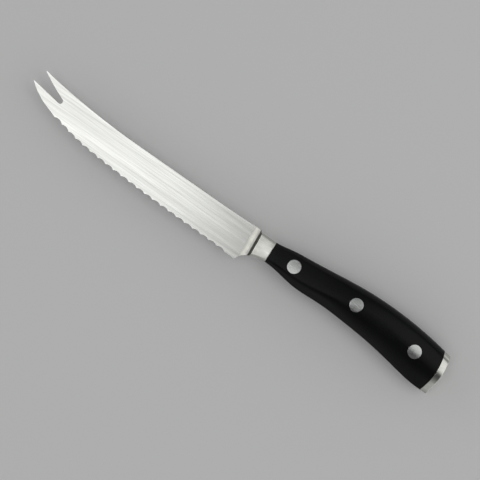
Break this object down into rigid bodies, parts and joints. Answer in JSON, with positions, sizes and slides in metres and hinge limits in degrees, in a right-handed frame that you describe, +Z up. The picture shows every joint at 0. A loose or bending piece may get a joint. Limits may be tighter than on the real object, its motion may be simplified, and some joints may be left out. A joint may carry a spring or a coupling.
{
  "type": "tomato knife",
  "caption": "Forged kitchen knife with a scalloped edge and a forked tip that lifts slices; full tang, bolsters at both ends, riveted contoured scales.",
  "frame": {"origin": "under the middle of the knife's box as it lies on its right side, on the surface it lies on", "axes": "+X from the blade to the butt, +Y from the edge to the back, +Z up, out of the left side"},
  "size_m": [0.261, 0.0272, 0.0166],
  "materials": {
    "blade_steel": "fine lengthwise satin grind, polished bolsters",
    "handle_plastic": "moulded acetal, buffed to a soft gloss",
    "rivet_steel": "ground flush with the scales"
  },
  "bodies": {
    "root": {"blade_forging": "blade_steel", "left_scale": "handle_plastic", "right_scale": "handle_plastic", "front_rivet_post": "rivet_steel", "front_rivet_sleeve": "rivet_steel", "middle_rivet_post": "rivet_steel", "middle_rivet_sleeve": "rivet_steel", "rear_rivet_post": "rivet_steel", "rear_rivet_sleeve": "rivet_steel"}
  },
  "joints": []
}
